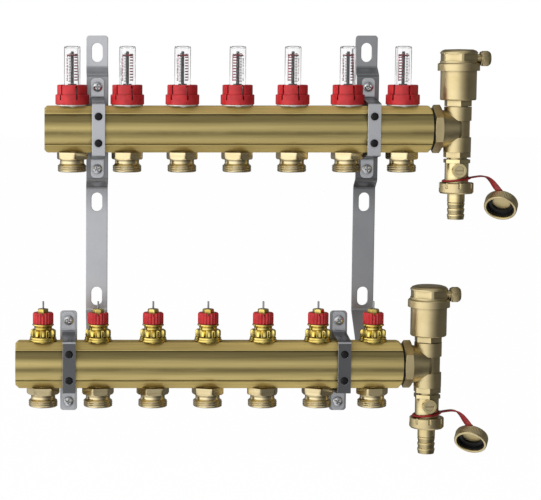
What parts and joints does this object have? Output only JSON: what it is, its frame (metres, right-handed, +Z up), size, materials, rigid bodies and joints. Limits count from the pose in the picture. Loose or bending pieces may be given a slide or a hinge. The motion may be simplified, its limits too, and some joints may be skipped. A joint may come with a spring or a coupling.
{
  "type": "underfloor heating manifold",
  "caption": "Wall-mounted brass heating manifold: supply bar with flow meters over a return bar with valve inserts, each ended by an air vent and drain valve.",
  "frame": {"origin": "on the wall plane, on the left bracket's centre line, at the height of the supply bar's axis: the centre of the left bracket's upper pair of slots", "axes": "+X along the bars towards the end tees, +Y into the wall, +Z up"},
  "size_m": [0.4585, 0.0742, 0.381],
  "materials": {
    "bar_brass": "satin extruded",
    "nipple_brass": "turned",
    "polished_brass": "polished",
    "cast_brass": "satin machined casting",
    "zinc_steel": "zinc plated",
    "spring_steel": "drawn wire",
    "dark_rod": "matte",
    "red_plastic": "matte",
    "white_plastic": "matte",
    "clear_plastic": "clear",
    "black_rubber": "matte",
    "red_rubber": "satin"
  },
  "bodies": {
    "fixed": {"supply_manifold_bar": "bar_brass", "return_manifold_bar": "bar_brass", "wall_brackets": "zinc_steel", "clamp_bands": "zinc_steel", "clamp_screws": "zinc_steel", "clamp_rubber_pads": "black_rubber", "outlet_nipples": "nipple_brass", "seal_rings": "black_rubber", "flow_meter_bodies": "white_plastic", "sight_tubes": "clear_plastic", "flow_meter_springs": "spring_steel", "valve_springs": "spring_steel", "valve_insert_bodies": "polished_brass", "valve_gland_nuts": "polished_brass", "end_tees": "cast_brass", "vent_bodies": "cast_brass", "vent_covers": "cast_brass", "drain_bodies": "cast_brass", "union_nuts": "cast_brass", "hose_tails": "cast_brass"},
    "flow_collar_1": {"flow_collar_1": "red_plastic"},
    "flow_indicator_1": {"flow_indicator_1": "dark_rod"},
    "flow_collar_2": {"flow_collar_2": "red_plastic"},
    "flow_indicator_2": {"flow_indicator_2": "dark_rod"},
    "flow_collar_3": {"flow_collar_3": "red_plastic"},
    "flow_indicator_3": {"flow_indicator_3": "dark_rod"},
    "flow_collar_4": {"flow_collar_4": "red_plastic"},
    "flow_indicator_4": {"flow_indicator_4": "dark_rod"},
    "flow_collar_5": {"flow_collar_5": "red_plastic"},
    "flow_indicator_5": {"flow_indicator_5": "dark_rod"},
    "flow_collar_6": {"flow_collar_6": "red_plastic"},
    "flow_indicator_6": {"flow_indicator_6": "dark_rod"},
    "flow_collar_7": {"flow_collar_7": "red_plastic"},
    "flow_indicator_7": {"flow_indicator_7": "dark_rod"},
    "valve_pin_1": {"valve_pin_1": "spring_steel"},
    "preset_ring_1": {"preset_ring_1": "red_plastic"},
    "valve_pin_2": {"valve_pin_2": "spring_steel"},
    "preset_ring_2": {"preset_ring_2": "red_plastic"},
    "valve_pin_3": {"valve_pin_3": "spring_steel"},
    "preset_ring_3": {"preset_ring_3": "red_plastic"},
    "valve_pin_4": {"valve_pin_4": "spring_steel"},
    "preset_ring_4": {"preset_ring_4": "red_plastic"},
    "valve_pin_5": {"valve_pin_5": "spring_steel"},
    "preset_ring_5": {"preset_ring_5": "red_plastic"},
    "valve_pin_6": {"valve_pin_6": "spring_steel"},
    "preset_ring_6": {"preset_ring_6": "red_plastic"},
    "valve_pin_7": {"valve_pin_7": "spring_steel"},
    "preset_ring_7": {"preset_ring_7": "red_plastic"},
    "supply_vent_float": {"supply_vent_float": "white_plastic"},
    "supply_vent_side_cap": {"supply_vent_side_cap": "cast_brass"},
    "supply_drain_spindle": {"supply_drain_spindle": "nipple_brass"},
    "supply_drain_cap": {"supply_cap_strap": "red_rubber", "supply_drain_cap": "cast_brass", "supply_cap_gasket": "black_rubber"},
    "return_vent_float": {"return_vent_float": "white_plastic"},
    "return_vent_side_cap": {"return_vent_side_cap": "cast_brass"},
    "return_drain_spindle": {"return_drain_spindle": "nipple_brass"},
    "return_drain_cap": {"return_cap_strap": "red_rubber", "return_drain_cap": "cast_brass", "return_cap_gasket": "black_rubber"}
  },
  "joints": [
    {"name": "flow_collar_1_turn", "type": "hinge", "parent": "fixed", "child": "flow_collar_1", "pos_m": [-0.0234, -0.032, 0.03], "axis": [0, 0, 1], "range_deg": [0, 720]},
    {"name": "flow_indicator_1_fall", "type": "slide", "parent": "fixed", "child": "flow_indicator_1", "axis": [0, 0, -1], "range_m": [0, 0.0235], "stiffness_N_per_m": 20, "springref_m": -0.004, "deforming": ["flow_meter_springs"]},
    {"name": "flow_collar_2_turn", "type": "hinge", "parent": "fixed", "child": "flow_collar_2", "pos_m": [0.0266, -0.032, 0.03], "axis": [0, 0, 1], "range_deg": [0, 720]},
    {"name": "flow_indicator_2_fall", "type": "slide", "parent": "fixed", "child": "flow_indicator_2", "axis": [0, 0, -1], "range_m": [0, 0.0235], "stiffness_N_per_m": 20, "springref_m": -0.004, "deforming": ["flow_meter_springs"]},
    {"name": "flow_collar_3_turn", "type": "hinge", "parent": "fixed", "child": "flow_collar_3", "pos_m": [0.0766, -0.032, 0.03], "axis": [0, 0, 1], "range_deg": [0, 720]},
    {"name": "flow_indicator_3_fall", "type": "slide", "parent": "fixed", "child": "flow_indicator_3", "axis": [0, 0, -1], "range_m": [0, 0.0235], "stiffness_N_per_m": 20, "springref_m": -0.004, "deforming": ["flow_meter_springs"]},
    {"name": "flow_collar_4_turn", "type": "hinge", "parent": "fixed", "child": "flow_collar_4", "pos_m": [0.1266, -0.032, 0.03], "axis": [0, 0, 1], "range_deg": [0, 720]},
    {"name": "flow_indicator_4_fall", "type": "slide", "parent": "fixed", "child": "flow_indicator_4", "axis": [0, 0, -1], "range_m": [0, 0.0235], "stiffness_N_per_m": 20, "springref_m": -0.004, "deforming": ["flow_meter_springs"]},
    {"name": "flow_collar_5_turn", "type": "hinge", "parent": "fixed", "child": "flow_collar_5", "pos_m": [0.1766, -0.032, 0.03], "axis": [0, 0, 1], "range_deg": [0, 720]},
    {"name": "flow_indicator_5_fall", "type": "slide", "parent": "fixed", "child": "flow_indicator_5", "axis": [0, 0, -1], "range_m": [0, 0.0235], "stiffness_N_per_m": 20, "springref_m": -0.004, "deforming": ["flow_meter_springs"]},
    {"name": "flow_collar_6_turn", "type": "hinge", "parent": "fixed", "child": "flow_collar_6", "pos_m": [0.2266, -0.032, 0.03], "axis": [0, 0, 1], "range_deg": [0, 720]},
    {"name": "flow_indicator_6_fall", "type": "slide", "parent": "fixed", "child": "flow_indicator_6", "axis": [0, 0, -1], "range_m": [0, 0.0235], "stiffness_N_per_m": 20, "springref_m": -0.004, "deforming": ["flow_meter_springs"]},
    {"name": "flow_collar_7_turn", "type": "hinge", "parent": "fixed", "child": "flow_collar_7", "pos_m": [0.2766, -0.032, 0.03], "axis": [0, 0, 1], "range_deg": [0, 720]},
    {"name": "flow_indicator_7_fall", "type": "slide", "parent": "fixed", "child": "flow_indicator_7", "axis": [0, 0, -1], "range_m": [0, 0.0235], "stiffness_N_per_m": 20, "springref_m": -0.004, "deforming": ["flow_meter_springs"]},
    {"name": "valve_pin_1_press", "type": "slide", "parent": "fixed", "child": "valve_pin_1", "axis": [0, 0, -1], "range_m": [0, 0.0029], "stiffness_N_per_m": 300, "springref_m": -0.002, "deforming": ["valve_springs"]},
    {"name": "preset_ring_1_turn", "type": "hinge", "parent": "fixed", "child": "preset_ring_1", "pos_m": [-0.0498, -0.051, -0.1708], "axis": [0, 0, 1], "range_deg": [0, 320]},
    {"name": "valve_pin_2_press", "type": "slide", "parent": "fixed", "child": "valve_pin_2", "axis": [0, 0, -1], "range_m": [0, 0.0029], "stiffness_N_per_m": 300, "springref_m": -0.002, "deforming": ["valve_springs"]},
    {"name": "preset_ring_2_turn", "type": "hinge", "parent": "fixed", "child": "preset_ring_2", "pos_m": [0.0002, -0.051, -0.1708], "axis": [0, 0, 1], "range_deg": [0, 320]},
    {"name": "valve_pin_3_press", "type": "slide", "parent": "fixed", "child": "valve_pin_3", "axis": [0, 0, -1], "range_m": [0, 0.0029], "stiffness_N_per_m": 300, "springref_m": -0.002, "deforming": ["valve_springs"]},
    {"name": "preset_ring_3_turn", "type": "hinge", "parent": "fixed", "child": "preset_ring_3", "pos_m": [0.0502, -0.051, -0.1708], "axis": [0, 0, 1], "range_deg": [0, 320]},
    {"name": "valve_pin_4_press", "type": "slide", "parent": "fixed", "child": "valve_pin_4", "axis": [0, 0, -1], "range_m": [0, 0.0029], "stiffness_N_per_m": 300, "springref_m": -0.002, "deforming": ["valve_springs"]},
    {"name": "preset_ring_4_turn", "type": "hinge", "parent": "fixed", "child": "preset_ring_4", "pos_m": [0.1002, -0.051, -0.1708], "axis": [0, 0, 1], "range_deg": [0, 320]},
    {"name": "valve_pin_5_press", "type": "slide", "parent": "fixed", "child": "valve_pin_5", "axis": [0, 0, -1], "range_m": [0, 0.0029], "stiffness_N_per_m": 300, "springref_m": -0.002, "deforming": ["valve_springs"]},
    {"name": "preset_ring_5_turn", "type": "hinge", "parent": "fixed", "child": "preset_ring_5", "pos_m": [0.1502, -0.051, -0.1708], "axis": [0, 0, 1], "range_deg": [0, 320]},
    {"name": "valve_pin_6_press", "type": "slide", "parent": "fixed", "child": "valve_pin_6", "axis": [0, 0, -1], "range_m": [0, 0.0029], "stiffness_N_per_m": 300, "springref_m": -0.002, "deforming": ["valve_springs"]},
    {"name": "preset_ring_6_turn", "type": "hinge", "parent": "fixed", "child": "preset_ring_6", "pos_m": [0.2002, -0.051, -0.1708], "axis": [0, 0, 1], "range_deg": [0, 320]},
    {"name": "valve_pin_7_press", "type": "slide", "parent": "fixed", "child": "valve_pin_7", "axis": [0, 0, -1], "range_m": [0, 0.0029], "stiffness_N_per_m": 300, "springref_m": -0.002, "deforming": ["valve_springs"]},
    {"name": "preset_ring_7_turn", "type": "hinge", "parent": "fixed", "child": "preset_ring_7", "pos_m": [0.2502, -0.051, -0.1708], "axis": [0, 0, 1], "range_deg": [0, 320]},
    {"name": "supply_vent_float_drop", "type": "slide", "parent": "fixed", "child": "supply_vent_float", "axis": [0, 0, -1], "range_m": [0, 0.008]},
    {"name": "supply_vent_side_cap_turn", "type": "hinge", "parent": "fixed", "child": "supply_vent_side_cap", "pos_m": [0.3507, -0.032, 0.0637], "axis": [1, 0, 0], "range_deg": [0, 540]},
    {"name": "supply_drain_spindle_turn", "type": "hinge", "parent": "fixed", "child": "supply_drain_spindle", "pos_m": [0.3269, -0.032, -0.0371], "axis": [0, -1, 0], "range_deg": [0, 90]},
    {"name": "supply_drain_cap_swing", "type": "hinge", "parent": "fixed", "child": "supply_drain_cap", "pos_m": [0.3269, -0.032, -0.0463], "axis": [0, 0, 1], "range_deg": [-110, 20]},
    {"name": "return_vent_float_drop", "type": "slide", "parent": "fixed", "child": "return_vent_float", "axis": [0, 0, -1], "range_m": [0, 0.008]},
    {"name": "return_vent_side_cap_turn", "type": "hinge", "parent": "fixed", "child": "return_vent_side_cap", "pos_m": [0.3243, -0.051, -0.1493], "axis": [1, 0, 0], "range_deg": [0, 540]},
    {"name": "return_drain_spindle_turn", "type": "hinge", "parent": "fixed", "child": "return_drain_spindle", "pos_m": [0.3005, -0.051, -0.2501], "axis": [0, -1, 0], "range_deg": [0, 90]},
    {"name": "return_drain_cap_swing", "type": "hinge", "parent": "fixed", "child": "return_drain_cap", "pos_m": [0.3005, -0.051, -0.2593], "axis": [0, 0, 1], "range_deg": [-110, 20]}
  ]
}
